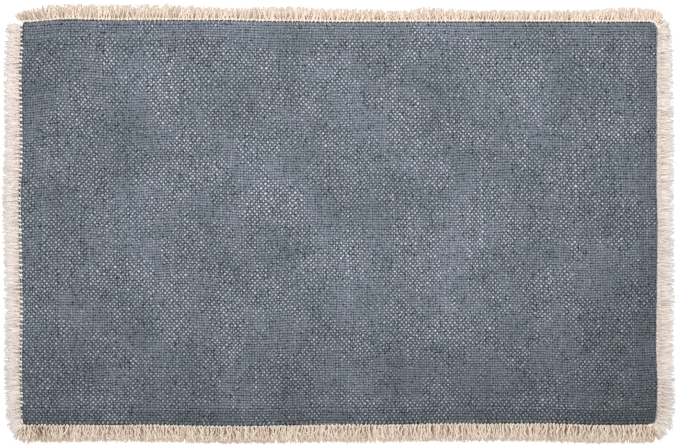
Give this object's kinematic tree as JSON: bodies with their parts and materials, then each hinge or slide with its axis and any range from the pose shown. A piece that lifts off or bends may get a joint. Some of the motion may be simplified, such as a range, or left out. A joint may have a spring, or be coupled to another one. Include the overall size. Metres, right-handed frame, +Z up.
{
  "type": "fringed fabric placemat",
  "caption": "Flat woven cotton placemat with hemmed long sides and a cut cotton fringe sewn round all its edges; it lies on a table and a place setting stands on it",
  "frame": {"origin": "on the table surface, under the middle of the whole outline with its fringe", "axes": "+X along the long side to the right, +Y along the short side to the far edge, +Z up out of the face"},
  "size_m": [0.5021, 0.3281, 0.0039],
  "materials": {
    "blue_grey_cotton": "matt stonewashed plain weave",
    "raw_cotton": "matt undyed cut yarn"
  },
  "bodies": {
    "root": {"mat": "blue_grey_cotton", "fringe_far": "raw_cotton", "fringe_right": "raw_cotton", "fringe_near": "raw_cotton", "fringe_left": "raw_cotton"}
  },
  "joints": []
}
